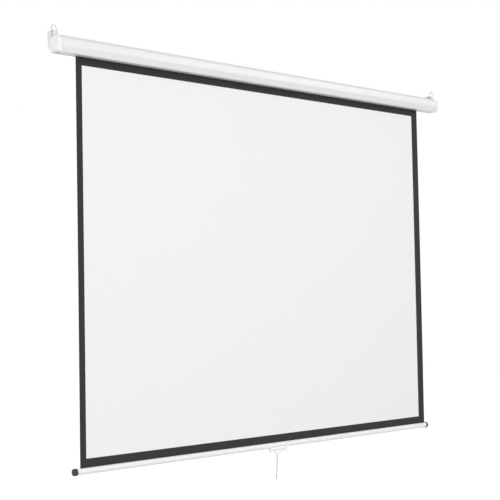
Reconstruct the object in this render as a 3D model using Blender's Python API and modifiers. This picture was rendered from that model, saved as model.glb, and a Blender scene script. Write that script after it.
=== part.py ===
"""Pull-down projector screen with a spring roller, hanging rings and a pull cord.

Metres, +Z up. +X runs along the case to the right, as seen by the audience, and -Y points at the
audience. The origin lies on the wall plane, halfway along the case, at the height of the middle of
the wall brackets. The screen is modelled pulled down.
"""

import math

import bmesh
import bpy
from mathutils import Matrix, Vector

# Clearance between pieces that touch.
GAP = 0.0003

# Screen fabric: the viewing area and the printed border round it.
VIEW_WIDTH = 2.032
VIEW_HEIGHT = 1.524
BORDER_LEFT = 0.0285
BORDER_RIGHT = 0.044
BORDER_TOP = 0.0311
BORDER_BOTTOM = 0.0343
FABRIC_THICKNESS = 0.0004
WRAP_TURNS = 2

# Case: sheet steel, faceted in front, with a slot underneath.
CASE_DEPTH = 0.061
CASE_HEIGHT = 0.0685
CASE_SHEET = 0.0012
CASE_MARGIN_LEFT = 0.0862
CASE_MARGIN_RIGHT = 0.1076
CASE_BELOW_FIXING = 0.0515
FACET_HEIGHT = 0.0265
FACET_SETBACK = 0.005
BAND_HEIGHT = 0.054
BAND_SETBACK = 0.0015
BAND_DEPTH = 0.017
BACK_CHAMFER = 0.011
UNDERSIDE_RISE = 0.0015
UNDERSIDE_CHAMFER = 0.003
SLOT_FRONT_GAP = 0.003
SLOT_BACK_GAP = 0.004
SLOT_LIP = 0.005
SLOT_BACK_LAND = 0.0077

# End caps: flush with the case, each with a spigot inside it.
CAP_WALL = 0.003
CAP_LENGTH = 0.021
SPIGOT_LENGTH = 0.012
CAP_NOTCH = 0.0075
CAP_NOTCH_FORWARD = 0.016

# How far the caps' outer ends are drawn in, and over what length.
DRAWN_LENGTH = 0.016
DRAWN_FRONT = 0.008
DRAWN_TOP = 0.009
DRAWN_BOTTOM = 0.016
DRAWN_AT_BACK = 0.25

# Wall and ceiling brackets on the caps.
BRACKET_INSET = 0.002
BRACKET_ABOVE_FIXING = 0.036
BRACKET_BELOW_FIXING = 0.034
BRACKET_TOP_DEPTH = 0.0395
BRACKET_TO_WALL = 0.016
BRACKET_TAPER = 0.010
BRACKET_TAPER_TOP = 0.002
BRACKET_SCREW_HEIGHTS = (-0.024, -0.008)
BRACKET_SCREW_SEAT = 0.0055
CORE_SIDE_WALL = 0.003
CORE_FRONT_WALL = 0.0023
CORE_REAR = 0.008
CORE_LOW = 0.020
CORE_HIGH = 0.0335
KEYHOLE_RADIUS = 0.0048
KEYHOLE_SLOT_WIDTH = 0.0048
KEYHOLE_SLOT_RISE = 0.009
KEYHOLE_PLATE = 0.0022
KEYHOLE_POCKET_DEPTH = 0.0028
KEYHOLE_RISE = 0.008

# Hanging rings, each with its foot through a bracket.
RING_WIRE = 0.0028
RING_WIDTH = 0.030
RING_HEIGHT = 0.0405
RING_TOP_RADIUS = 0.010
RING_CORNER_RADIUS = 0.0035
RING_BEHIND_BRACKET_FRONT = 0.004
RING_ABOVE_CASE = 0.005
RING_LEAN = {-1: math.radians(12), 1: 0.0}

# Bearing plates, roller and its journals.
PLATE_FROM_SEAM = 0.008
PLATE_THICKNESS = 0.006
PLATE_SCREW_DEPTH = 0.006
ROLLER_RADIUS = 0.018
ROLLER_WALL = 0.0012
ROLLER_ABOVE_UNDERSIDE = 0.0355
ROLLER_END_GAP = 0.006
PLUG_LENGTH = 0.03
FLANGE = 0.003
PIN_RADIUS = 0.004
PIN_LENGTH = 0.034
BUSH_WALL = 0.003

# Spring motor and its ratchet, at the right end.
MECHANISM_SPACE = 0.030
SHAFT_RADIUS = 0.004
SHAFT_LENGTH = 0.36
TONGUE_THICKNESS = 0.005
TONGUE_LENGTH = 0.014
SPRING_WIRE = 0.0016
SPRING_RADIUS = 0.0085
SPRING_TURNS = 24
ANCHOR_RADIUS = 0.012
ANCHOR_LENGTH = 0.010
SUPPORT_LENGTH = 0.012
RATCHET_RADIUS = 0.009
RATCHET_THICKNESS = 0.005
NOTCH_DEPTH = 0.0032
PAWL_PIVOT_RADIUS = 0.0142
PAWL_THICKNESS = 0.0036
PAWL_WIDTH = 0.0034
PAWL_ELBOW_RADIUS = 0.013
PAWL_NOSE_ANGLE = math.radians(40)
PAWL_PIN_RADIUS = 0.0012

# Bottom bar with its end plugs.
BAR_RADIUS = 0.0125
BAR_WALL = 0.0012
BAR_OVERHANG_LEFT = 0.0176
BAR_OVERHANG_RIGHT = 0.002
BAR_SLOT = 0.003
BAR_CAP_RADIUS = 0.0143
BAR_CAP_LENGTH = 0.015
BAR_PLUG_LENGTH = 0.018
HEM_ROD_RADIUS = 0.003

# Pull handle and cord.
HANDLE_WIDTH = 0.102
HANDLE_HEIGHT = 0.020
HANDLE_THICKNESS = 0.011
HANDLE_CORNER = 0.006
HANDLE_WRAP = 0.004
HANDLE_RELIEF = 0.0022
HANDLE_RELIEFS = ((0.008, 0.024), (0.035, 0.046))
HANDLE_SCREW_FROM_MIDDLE = 0.030
SADDLE_WALL = 0.0017
SADDLE_TOP = 0.0065
SADDLE_BOTTOM = 0.016
HANDLE_BOSS_WIDTH = 0.030
HANDLE_BOSS_DROP = 0.0075
CORD_OFFSET = -0.0075
CORD_SWAY = 0.0073
CORD_DIAMETER = 0.004
CORD_LENGTH = 0.117
CORD_SOCKET = 0.006

# Fasteners.
SCREW_RADIUS = 0.0015
SCREW_HEAD_RADIUS = 0.0034
SCREW_HEAD_HEIGHT = 0.0015
SCREW_LENGTH = 0.009
RECESS_RADIUS = 0.0046

# Places worked out from the sizes above.
FABRIC_WIDTH = VIEW_WIDTH + BORDER_LEFT + BORDER_RIGHT
FABRIC_DROP = VIEW_HEIGHT + BORDER_TOP + BORDER_BOTTOM
SEAM_X = (FABRIC_WIDTH + CASE_MARGIN_LEFT + CASE_MARGIN_RIGHT) / 2
FABRIC_LEFT_X = CASE_MARGIN_LEFT - SEAM_X
FABRIC_RIGHT_X = SEAM_X - CASE_MARGIN_RIGHT
PLATE_INNER_X = SEAM_X + PLATE_FROM_SEAM
PLATE_OUTER_X = PLATE_INNER_X + PLATE_THICKNESS
CAP_END_X = SEAM_X + CAP_LENGTH
CASE_BACK_Y = -BRACKET_TO_WALL
CASE_FRONT_Y = CASE_BACK_Y - CASE_DEPTH
CASE_BOTTOM_Z = -CASE_BELOW_FIXING
CASE_TOP_Z = CASE_BOTTOM_Z + CASE_HEIGHT
SPIGOT_INSET = CASE_SHEET + GAP
CAVITY_INSET = SPIGOT_INSET + CAP_WALL
BRACKET_WIDTH = CAP_LENGTH - BRACKET_INSET
WRAP_RADIUS = ROLLER_RADIUS + GAP + WRAP_TURNS * FABRIC_THICKNESS
ROLLER_Z = CASE_BOTTOM_Z + ROLLER_ABOVE_UNDERSIDE
UNDERSIDE_BACK_Y = CASE_BACK_Y - UNDERSIDE_CHAMFER
SLOT_BACK_Y = UNDERSIDE_BACK_Y - SLOT_BACK_LAND
FABRIC_Y = SLOT_BACK_Y - SLOT_BACK_GAP - FABRIC_THICKNESS / 2
SLOT_FRONT_Y = FABRIC_Y - FABRIC_THICKNESS / 2 - SLOT_FRONT_GAP
ROLLER_Y = FABRIC_Y - FABRIC_THICKNESS / 2 - GAP - WRAP_RADIUS
BAR_Z = CASE_BOTTOM_Z - FABRIC_DROP - BAR_RADIUS
BAR_LEFT_X = FABRIC_LEFT_X - BAR_OVERHANG_LEFT
BAR_RIGHT_X = FABRIC_RIGHT_X + BAR_OVERHANG_RIGHT
ROLLER_LEFT_X = -PLATE_INNER_X + ROLLER_END_GAP + FLANGE
ROLLER_RIGHT_X = PLATE_INNER_X - MECHANISM_SPACE
RATCHET_X = ROLLER_RIGHT_X + GAP + FLANGE + GAP
SHAFT_INNER_X = PLATE_OUTER_X - SHAFT_LENGTH
RING_Y = RING_BEHIND_BRACKET_FRONT - BRACKET_TOP_DEPTH
RING_Z = CASE_TOP_Z + RING_ABOVE_CASE
BRACKET_SCREW_Y = BRACKET_SCREW_SEAT + GAP - BRACKET_TO_WALL
PLATE_BACK_Y = CASE_BACK_Y - CAVITY_INSET - GAP
HANDLE_X = 0.0

# Axes that outlines are extruded along, as the matrix from the outline's own axes.
ALONG_X = Matrix(((0, 0, 1), (1, 0, 0), (0, 1, 0)))
ALONG_Y = Matrix(((1, 0, 0), (0, 0, -1), (0, 1, 0)))
ALONG_Z = Matrix.Identity(3)


def clear_scene():
    for item in list(bpy.data.objects):
        bpy.data.objects.remove(item, do_unlink=True)


def collection(name):
    made = bpy.data.collections.new(name)
    bpy.context.scene.collection.children.link(made)
    return made


def material(name, colour, roughness, metallic=0.0):
    made = bpy.data.materials.new(name)
    made.use_nodes = True
    shader = made.node_tree.nodes["Principled BSDF"]
    shader.inputs["Base Color"].default_value = (*colour, 1.0)
    shader.inputs["Roughness"].default_value = roughness
    shader.inputs["Metallic"].default_value = metallic
    made.diffuse_color = (*colour, 1.0)
    return made


def finish(item, look):
    """Puts a piece in the part's collection with its own material and shading."""
    parts.objects.link(item)
    item.data.materials.clear()
    item.data.materials.append(material(item.name, *look))
    item.data.shade_smooth()
    item.data.set_sharp_from_angle(angle=math.radians(35))
    return item


def circle(radius, centre=(0.0, 0.0), steps=32, start=0.0, sweep=2 * math.pi):
    """Points of an arc, or of a full circle without its repeated last point."""
    count = steps if abs(sweep - 2 * math.pi) < 1e-9 else steps + 1
    angles = [start + sweep * i / steps for i in range(count)]
    return [(centre[0] + radius * math.cos(a), centre[1] + radius * math.sin(a)) for a in angles]


def rectangle(low, high):
    return [(low[0], low[1]), (high[0], low[1]), (high[0], high[1]), (low[0], high[1])]


def offset_outline(points, distance):
    """A convex outline moved outwards by a distance, with its corners kept sharp."""
    area = sum(a[0] * b[1] - b[0] * a[1] for a, b in zip(points, points[1:] + points[:1]))
    turn = 1 if area > 0 else -1
    moved = []
    for i, point in enumerate(points):
        before = (Vector(point) - Vector(points[i - 1])).normalized()
        after = (Vector(points[(i + 1) % len(points)]) - Vector(point)).normalized()
        normal = Vector((before.y, -before.x)) + Vector((after.y, -after.x))
        scale = turn * distance / (1 + before.dot(after))
        moved.append((point[0] + normal.x * scale, point[1] + normal.y * scale))
    return moved


def join_caps(mesh, flat):
    """Welds a curve's caps to its sides, and makes each flat cap of an outline one face."""
    work = bmesh.new()
    work.from_mesh(mesh)
    bmesh.ops.remove_doubles(work, verts=work.verts, dist=0.00001)
    if flat:
        bmesh.ops.dissolve_limit(work, angle_limit=0.001, verts=work.verts, edges=work.edges)
    bmesh.ops.recalc_face_normals(work, faces=work.faces)
    work.to_mesh(mesh)
    work.free()


def mesh_from_curve(name, data, matrix):
    """A closed mesh object from a filled curve, with its caps joined on."""
    curve = bpy.data.objects.new(name + "_curve", data)
    bpy.context.scene.collection.objects.link(curve)
    curve.matrix_world = matrix
    bpy.context.view_layer.update()
    evaluated = curve.evaluated_get(bpy.context.evaluated_depsgraph_get())
    mesh = bpy.data.meshes.new_from_object(evaluated)
    join_caps(mesh, data.dimensions == "2D")
    mesh.transform(curve.matrix_world)
    bpy.data.objects.remove(curve, do_unlink=True)
    return bpy.data.objects.new(name, mesh)


def extrude(name, loops, turn, start, end):
    """An outline, with any inner loops as holes, extruded from start to end along an axis."""
    data = bpy.data.curves.new(name, "CURVE")
    data.dimensions = "2D"
    data.fill_mode = "BOTH"
    data.extrude = abs(end - start) / 2
    for points in loops:
        spline = data.splines.new("POLY")
        spline.points.add(len(points) - 1)
        for spot, (u, v) in zip(spline.points, points):
            spot.co = (u, v, 0, 1)
        spline.use_cyclic_u = True
    matrix = turn.to_4x4()
    matrix.translation = turn @ Vector((0, 0, (start + end) / 2))
    return mesh_from_curve(name, data, matrix)


def tube(name, points, radius, closed=False, sides=2):
    """A round wire along points."""
    data = bpy.data.curves.new(name, "CURVE")
    data.dimensions = "3D"
    data.bevel_depth = radius
    data.bevel_resolution = sides
    data.use_fill_caps = not closed
    spline = data.splines.new("POLY")
    spline.points.add(len(points) - 1)
    for spot, point in zip(spline.points, points):
        spot.co = (*point, 1)
    spline.use_cyclic_u = closed
    return mesh_from_curve(name, data, Matrix.Identity(4))


def turned(name, profile, centre, axis, steps=32, closed=False):
    """A solid turned about an axis from (radius, height) points, listed from the top down."""
    mesh = bpy.data.meshes.new(name)
    edges = [(i, i + 1) for i in range(len(profile) - 1)]
    if closed:
        edges.append((len(profile) - 1, 0))
    mesh.from_pydata([(r, 0, h) for r, h in profile], edges, [])
    item = bpy.data.objects.new(name, mesh)
    item.matrix_world = (
        Matrix.Translation(centre) @ Vector((0, 0, 1)).rotation_difference(Vector(axis)).to_matrix().to_4x4()
    )
    screw = item.modifiers.new("turn", "SCREW")
    screw.axis = "Z"
    screw.steps = steps
    screw.render_steps = steps
    screw.use_merge_vertices = True
    screw.merge_threshold = 0.00001
    return item


def cylinder(name, radius, start, end, bore=0.0, steps=32):
    """A solid or bored cylinder between two points."""
    start, end = Vector(start), Vector(end)
    long = (end - start).length
    profile = [(bore, long), (radius, long), (radius, 0), (bore, 0)]
    return turned(name, profile, start, (end - start).normalized(), steps, closed=bore > 0)


def block(name, low, high):
    mesh = bpy.data.meshes.new(name)
    work = bmesh.new()
    bmesh.ops.create_cube(work, size=1)
    size = Vector(high) - Vector(low)
    bmesh.ops.scale(work, vec=size, verts=work.verts)
    bmesh.ops.translate(work, vec=Vector(low) + size / 2, verts=work.verts)
    work.to_mesh(mesh)
    work.free()
    return bpy.data.objects.new(name, mesh)


def cut(item, tools):
    """Cuts a piece by all its tools in one Boolean, which stays on the piece."""
    group = bpy.data.collections.new(item.name + "_cutters")
    cutters.children.link(group)
    for tool in tools:
        group.objects.link(tool)
        tool.hide_render = True
        tool.display_type = "WIRE"
    change = item.modifiers.new("cut", "BOOLEAN")
    change.operation = "DIFFERENCE"
    change.solver = "EXACT"
    change.operand_type = "COLLECTION"
    change.collection = group
    return item


def pivot(name, place):
    """An empty on a joint's axis, which carries what moves there."""
    item = bpy.data.objects.new(name, None)
    item.empty_display_size = 0.02
    item.location = place
    parts.objects.link(item)
    bpy.context.view_layer.update()
    return item


def carry(holder, pieces):
    for item in pieces:
        item.parent = holder
        item.matrix_parent_inverse = holder.matrix_world.inverted()


def screw(name, head, direction, length=SCREW_LENGTH):
    """A pan-head screw: head is the middle of the face under the head."""
    profile = [
        (0, length),
        (SCREW_RADIUS, length),
        (SCREW_RADIUS, 0),
        (SCREW_HEAD_RADIUS, 0),
        (SCREW_HEAD_RADIUS, -SCREW_HEAD_HEIGHT * 0.6),
        (SCREW_HEAD_RADIUS * 0.7, -SCREW_HEAD_HEIGHT),
        (0, -SCREW_HEAD_HEIGHT),
    ]
    return turned(name, profile, head, direction, 16)


def case_outline():
    """The case's outer section as (y, z), anticlockwise from its front lower edge."""
    front, back, bottom, top = CASE_FRONT_Y, CASE_BACK_Y, CASE_BOTTOM_Z, CASE_TOP_Z
    return [
        (front + FACET_SETBACK, bottom),
        (UNDERSIDE_BACK_Y, bottom + UNDERSIDE_RISE),
        (back, bottom + UNDERSIDE_RISE + UNDERSIDE_CHAMFER),
        (back, top - BACK_CHAMFER),
        (back - BACK_CHAMFER, top),
        (front + BAND_DEPTH, top),
        (front + BAND_SETBACK, bottom + BAND_HEIGHT),
        (front, bottom + FACET_HEIGHT),
    ]


def underside_z(y):
    """Height of the sheet's middle line under the case at a depth."""
    front, back = offset_outline(case_outline(), -CASE_SHEET / 2)[:2]
    return front[1] + (back[1] - front[1]) * (y - front[0]) / (back[0] - front[0])


def make_case():
    """The folded sheet: one open strip of the section, from slot lip to slot lip, with a thickness."""
    inner = CASE_SHEET / 2
    middle = offset_outline(case_outline(), -inner)
    front_lip, back_lip = SLOT_FRONT_Y - inner, SLOT_BACK_Y + inner
    path = [
        (front_lip, underside_z(front_lip) + SLOT_LIP),
        (front_lip, underside_z(front_lip)),
        middle[0],
        *reversed(middle[2:]),
        middle[1],
        (back_lip, underside_z(back_lip)),
        (back_lip, underside_z(back_lip) + SLOT_LIP),
    ]
    mesh = bpy.data.meshes.new("case")
    strip = bmesh.new()
    rows = [strip.verts.new((-SEAM_X, y, z)) for y, z in path]
    edges = [strip.edges.new(pair) for pair in zip(rows, rows[1:])]
    swept = bmesh.ops.extrude_edge_only(strip, edges=edges)
    moved = [v for v in swept["geom"] if isinstance(v, bmesh.types.BMVert)]
    bmesh.ops.translate(strip, vec=(2 * SEAM_X, 0, 0), verts=moved)
    strip.to_mesh(mesh)
    strip.free()
    case = bpy.data.objects.new("case", mesh)
    sheet = case.modifiers.new("sheet", "SOLIDIFY")
    sheet.thickness = CASE_SHEET
    sheet.offset = 0
    sheet.use_even_offset = True
    return case


def drawn_outline(share):
    """The case's outline drawn in at a cap's end: most at its front lower edge, least at its back."""
    middle = (CASE_TOP_Z + CASE_BOTTOM_Z) / 2
    drawn = []
    for y, z in case_outline():
        forward = (CASE_BACK_Y - y) / CASE_DEPTH
        most = DRAWN_BOTTOM if z < middle else DRAWN_TOP
        lift = most * (DRAWN_AT_BACK + (1 - DRAWN_AT_BACK) * forward) * (middle - z) / (CASE_HEIGHT / 2)
        drawn.append((y + DRAWN_FRONT * forward * share, z + lift * share))
    return drawn


def loft(name, sections):
    """A closed solid through sections, each an x and the (y, z) points of an outline there."""
    work = bmesh.new()
    rows = [[work.verts.new((x, y, z)) for y, z in points] for x, points in sections]
    for low, high in zip(rows, rows[1:]):
        for i, j in zip(range(len(low)), [*range(1, len(low)), 0]):
            work.faces.new((low[i], low[j], high[j], high[i]))
    work.faces.new(rows[0])
    work.faces.new(rows[-1])
    bmesh.ops.recalc_face_normals(work, faces=work.faces)
    mesh = bpy.data.meshes.new(name)
    work.to_mesh(mesh)
    work.free()
    return bpy.data.objects.new(name, mesh)


def make_end_cap(name, side):
    """A moulded cap with a rounded outer end, hollow, with a spigot notched for the case's slot lips."""
    start = SEAM_X - SPIGOT_LENGTH
    sections = [(side * start, case_outline())]
    for i in range(7):
        angle = math.pi / 2 * i / 6
        x = CAP_END_X - DRAWN_LENGTH * (1 - math.sin(angle))
        sections.append((side * x, drawn_outline(1 - math.cos(angle))))
    cap = loft(name, sections)
    outside = offset_outline(case_outline(), SPIGOT_INSET)
    spigot = offset_outline(case_outline(), -SPIGOT_INSET)
    hollow = offset_outline(case_outline(), -CAVITY_INSET)
    before = side * (start - CAP_WALL)
    notch_top = underside_z(SLOT_BACK_Y) + SLOT_LIP + GAP
    notch_ends = sorted((before, side * (SEAM_X + CAP_NOTCH)))
    notch_low = (notch_ends[0], SLOT_FRONT_Y - CAP_NOTCH_FORWARD, CASE_BOTTOM_Z - CAP_WALL)
    notch_high = (notch_ends[1], SLOT_BACK_Y + CASE_SHEET + GAP, notch_top)
    tools = [
        extrude("spigot_step", [outside, spigot], ALONG_X, before, side * (SEAM_X + GAP)),
        extrude("cap_hollow", [hollow], ALONG_X, before, side * (PLATE_OUTER_X + GAP)),
        block("lip_notch", notch_low, notch_high),
        *[bracket_screw_hole(side, height) for height in BRACKET_SCREW_HEIGHTS],
    ]
    return cut(cap, tools)


def bracket_middle(side):
    return side * (SEAM_X + BRACKET_INSET + BRACKET_WIDTH / 2)


def bracket_screw_seat(side, height):
    """The middle of a bracket screw's seat, on the floor of its deep recess in the bracket."""
    return Vector((side * (PLATE_INNER_X + PLATE_OUTER_X) / 2, BRACKET_SCREW_Y, height))


def bracket_screw_length():
    return BRACKET_SCREW_Y - PLATE_BACK_Y + PLATE_SCREW_DEPTH


def bracket_screw_hole(side, height):
    """The hole for a bracket screw through the bracket, the cap's back and into the plate's edge."""
    seat = bracket_screw_seat(side, height)
    deep = Vector((0, -bracket_screw_length() - GAP, 0))
    return cylinder("bracket_screw_hole", SCREW_RADIUS + GAP, seat + deep, seat - deep * 0.1, steps=16)


def make_bracket(name, side):
    """An L over a cap, tapering below its wall face, with a keyhole behind and a cored arm."""
    low, high = -BRACKET_BELOW_FIXING, BRACKET_ABOVE_FIXING
    seat = offset_outline(case_outline(), GAP)
    back_corner, top_corner = seat[3], seat[4]
    outline = [
        (-BRACKET_TAPER, low),
        (0, BRACKET_TAPER_TOP),
        (0, high),
        (-BRACKET_TOP_DEPTH, high),
        (-BRACKET_TOP_DEPTH, top_corner[1]),
        top_corner,
        back_corner,
        (back_corner[0], low),
    ]
    middle = bracket_middle(side)
    near, far = middle - BRACKET_WIDTH / 2, middle + BRACKET_WIDTH / 2
    bracket = extrude(name, [outline], ALONG_X, near, far)
    hole = circle(KEYHOLE_RADIUS, (middle, KEYHOLE_RISE), 24)
    half = KEYHOLE_SLOT_WIDTH / 2
    slot = rectangle((middle - half, KEYHOLE_RISE), (middle + half, KEYHOLE_RISE + KEYHOLE_SLOT_RISE))
    wide = KEYHOLE_RADIUS + GAP
    pocket_top = KEYHOLE_RISE + KEYHOLE_SLOT_RISE + wide
    pocket = rectangle((middle - wide, KEYHOLE_RISE - wide), (middle + wide, pocket_top))
    inner = -KEYHOLE_PLATE - KEYHOLE_POCKET_DEPTH
    tools = [
        extrude("keyhole", [hole], ALONG_Y, -0.001, KEYHOLE_PLATE + 0.001),
        extrude("keyhole_slot", [slot], ALONG_Y, -0.001, KEYHOLE_PLATE + 0.001),
        extrude("keyhole_pocket", [pocket], ALONG_Y, KEYHOLE_PLATE, -inner),
    ]
    for height in BRACKET_SCREW_HEIGHTS:
        seat = bracket_screw_seat(side, height)
        recess = cylinder("bracket_recess", RECESS_RADIUS, seat, seat + Vector((0, BRACKET_TO_WALL, 0)))
        tools += [recess, bracket_screw_hole(side, height)]
    core_front = RING_Y + RING_WIRE / 2 + GAP + CORE_FRONT_WALL
    core_ends = sorted((side * (SEAM_X - GAP), side * (CAP_END_X - CORE_SIDE_WALL)))
    core_low = (core_ends[0], core_front, CORE_LOW)
    tools.append(block("arm_core", core_low, (core_ends[1], -CORE_REAR, CORE_HIGH)))
    across = Vector((BRACKET_WIDTH, 0, 0))
    foot = Vector((middle, RING_Y, RING_Z))
    tools.append(cylinder("foot_bore", RING_WIRE / 2 + GAP, foot - across, foot + across, steps=20))
    return cut(bracket, tools)


def ring_points():
    """The ring's wire: a straight foot with rounded corners and legs that close to a round top."""
    half = RING_WIDTH / 2 - RING_WIRE / 2
    corner, top = RING_CORNER_RADIUS, RING_TOP_RADIUS
    crown = RING_HEIGHT - RING_WIRE - top
    centre = Vector((half - corner, corner))
    away = Vector((0, crown)) - centre
    lean = math.atan2(away.y, away.x) - math.pi / 2 + math.asin((corner - top) / away.length)
    right = circle(corner, centre, 5, -math.pi / 2, math.pi / 2 + lean)
    crown_arc = circle(top, (0, crown), 10, lean, math.pi - 2 * lean)
    left = [(-u, v) for u, v in reversed(right)]
    return [(u, v) for u, v in right + crown_arc + left]


def make_ring(name, side):
    """A ring whose straight foot lies in the bore of its bracket."""
    lean = RING_LEAN[side]
    middle = bracket_middle(side)
    up, back = math.cos(lean), math.sin(lean)
    points = [(middle + u, RING_Y + v * back, RING_Z + v * up) for u, v in ring_points()]
    return tube(name, points, RING_WIRE / 2, closed=True)


def make_bearing_plate(name, side):
    """The plate inside a cap, with a round hole on the left, or a slot on the right, for the roller."""
    if side < 0:
        hole = circle(PIN_RADIUS + 2 * GAP + BUSH_WALL, (ROLLER_Y, ROLLER_Z))
    else:
        wide, tall = TONGUE_THICKNESS / 2 + GAP, SHAFT_RADIUS + GAP
        hole = rectangle((ROLLER_Y - wide, ROLLER_Z - tall), (ROLLER_Y + wide, ROLLER_Z + tall))
    outline = offset_outline(case_outline(), -CAVITY_INSET - GAP)
    plate = extrude(name, [outline, hole], ALONG_X, side * PLATE_INNER_X, side * PLATE_OUTER_X)
    return cut(plate, [bracket_screw_hole(side, height) for height in BRACKET_SCREW_HEIGHTS])


def axis_point(x):
    return Vector((x, ROLLER_Y, ROLLER_Z))


def roller_ring(name, radius, start, end, bore=0.0, steps=32):
    return cylinder(name, radius, axis_point(start), axis_point(end), bore, steps)


def make_roller_plug(name, end, side, bore):
    """A plug in the roller's end, with a flange outside it."""
    body = ROLLER_RADIUS - ROLLER_WALL - GAP
    long = PLUG_LENGTH
    profile = [
        (bore, FLANGE + GAP),
        (ROLLER_RADIUS, FLANGE + GAP),
        (ROLLER_RADIUS, GAP),
        (body, GAP),
        (body, -long),
        (bore, -long),
    ]
    return turned(name, profile, axis_point(end), (side, 0, 0), closed=True)


def make_spring_shaft():
    """A round shaft whose outer end is milled to a flat tongue for the slot in the plate."""
    shaft = roller_ring("spring_shaft", SHAFT_RADIUS, SHAFT_INNER_X, PLATE_OUTER_X)
    start = PLATE_OUTER_X - TONGUE_LENGTH
    flat, wide = TONGUE_THICKNESS / 2, SHAFT_RADIUS * 2
    tools = []
    for sign in (-1, 1):
        ends = sorted((ROLLER_Y + sign * flat, ROLLER_Y + sign * wide))
        low = (start, ends[0], ROLLER_Z - wide)
        high = (PLATE_OUTER_X + 0.01, ends[1], ROLLER_Z + wide)
        tools.append(block("tongue_flat", low, high))
    return cut(shaft, tools)


def spring_span():
    """Where the spring starts and ends: from the anchor's face to the right plug's inner end."""
    start = SHAFT_INNER_X + SUPPORT_LENGTH + GAP + ANCHOR_LENGTH + GAP
    return start, ROLLER_RIGHT_X - PLUG_LENGTH - GAP


def spring_points():
    """A helix whose ends run straight along the shaft for one wire diameter."""
    start, end = spring_span()
    steps = SPRING_TURNS * 8
    inner_start, inner_end = start + SPRING_WIRE, end - SPRING_WIRE
    points = [axis_point(start) + Vector((0, SPRING_RADIUS, 0))]
    for i in range(steps + 1):
        angle = 2 * math.pi * SPRING_TURNS * i / steps
        along = inner_start + (inner_end - inner_start) * i / steps
        swing = Vector((0, SPRING_RADIUS * math.cos(angle), SPRING_RADIUS * math.sin(angle)))
        points.append(axis_point(along) + swing)
    points.append(axis_point(end) + Vector((0, SPRING_RADIUS, 0)))
    return points


def least_self_gap(points, diameter, apart):
    """The least clear distance between stretches of a tube that lie some points apart."""
    least = math.inf
    for i, point in enumerate(points):
        for other in points[i + apart : i + 3 * apart]:
            least = min(least, (point - other).length - diameter)
    return least


def make_torsion_spring():
    points = spring_points()
    print("least gap between spring turns, mm:", round(least_self_gap(points, SPRING_WIRE, 6) * 1000, 2))
    return tube("torsion_spring", points, SPRING_WIRE / 2, sides=1)


def polar(radius, angle):
    return Vector((ROLLER_Y + radius * math.cos(angle), ROLLER_Z + radius * math.sin(angle)))


def notch(angle):
    """The outline of a notch in the ratchet's rim, wide enough for a pawl's nose."""
    out = Vector((math.cos(angle), math.sin(angle)))
    across = Vector((-out.y, out.x)) * (PAWL_WIDTH / 2 + 2 * GAP)
    bottom = polar(RATCHET_RADIUS - NOTCH_DEPTH, angle)
    top = polar(RATCHET_RADIUS + NOTCH_DEPTH, angle)
    return [tuple(bottom - across), tuple(top - across), tuple(top + across), tuple(bottom + across)]


def make_ratchet_wheel():
    start, end = RATCHET_X, RATCHET_X + RATCHET_THICKNESS
    wheel = roller_ring("ratchet_wheel", RATCHET_RADIUS, start, end, SHAFT_RADIUS + GAP)
    tools = []
    for half_turn in (0, math.pi):
        outline = notch(PAWL_NOSE_ANGLE + half_turn)
        tools.append(extrude("ratchet_notch", [outline], ALONG_X, start - 0.001, end + 0.001))
    return cut(wheel, tools)


def pawl_outlines(half_turn):
    """A lever from its pivot to an elbow over the ratchet's notch, with a nose towards the axis."""
    pivot_spot = polar(PAWL_PIVOT_RADIUS, math.pi / 2 + half_turn)
    elbow = polar(PAWL_ELBOW_RADIUS, PAWL_NOSE_ANGLE + half_turn)
    tip = polar(RATCHET_RADIUS + 2 * GAP, PAWL_NOSE_ANGLE + half_turn)
    half = PAWL_WIDTH / 2
    arm = (elbow - pivot_spot).normalized()
    side = Vector((-arm.y, arm.x)) * half
    inward = (tip - elbow).normalized()
    across = Vector((-inward.y, inward.x)) * half
    back = math.atan2(side.y, side.x)
    ear = circle(half * 1.25, tuple(pivot_spot), 8, back, math.pi)
    crook = elbow - side - arm * (half * 0.6)
    outline = [
        *ear,
        tuple(crook),
        tuple(tip - across),
        tuple(tip + across),
        tuple(elbow + across - inward * half),
        tuple(elbow + side),
    ]
    hole = circle(PAWL_PIN_RADIUS + GAP, tuple(pivot_spot), 12)
    return [outline, hole]


def make_pawl(name, half_turn):
    start = RATCHET_X + GAP
    return extrude(name, pawl_outlines(half_turn), ALONG_X, start, start + PAWL_THICKNESS)


def pawl_pivot(half_turn):
    spot = polar(PAWL_PIVOT_RADIUS, math.pi / 2 + half_turn)
    return Vector((RATCHET_X, spot.x, spot.y))


def make_pawl_pin(name, half_turn):
    """A rivet whose head keeps the pawl on the plug's flange."""
    base = pawl_pivot(half_turn)
    shank, head = PAWL_THICKNESS + 3 * GAP, PAWL_PIN_RADIUS * 1.8
    profile = [
        (0, shank + 0.001),
        (head, shank + 0.001),
        (head, shank),
        (PAWL_PIN_RADIUS, shank),
        (PAWL_PIN_RADIUS, -FLANGE * 0.6),
        (0, -FLANGE * 0.6),
    ]
    return turned(name, profile, base, (1, 0, 0), 16)


def make_right_plug():
    plug = make_roller_plug("right_roller_plug", ROLLER_RIGHT_X, 1, SHAFT_RADIUS + GAP)
    tools = []
    for half_turn in (0, math.pi):
        place = pawl_pivot(half_turn)
        deep = place - Vector((FLANGE * 0.75, 0, 0))
        hole = cylinder("pin_hole", PAWL_PIN_RADIUS + GAP, deep, place + Vector((0.001, 0, 0)), steps=16)
        tools.append(hole)
    return cut(plug, tools)


def fabric_bottom():
    return BAR_Z + BAR_RADIUS - BAR_WALL - 2 * GAP


def make_fabric():
    half = FABRIC_THICKNESS / 2
    low = (FABRIC_LEFT_X, FABRIC_Y - half, fabric_bottom())
    return block("screen_fabric", low, (FABRIC_RIGHT_X, FABRIC_Y + half, ROLLER_Z))


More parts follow.
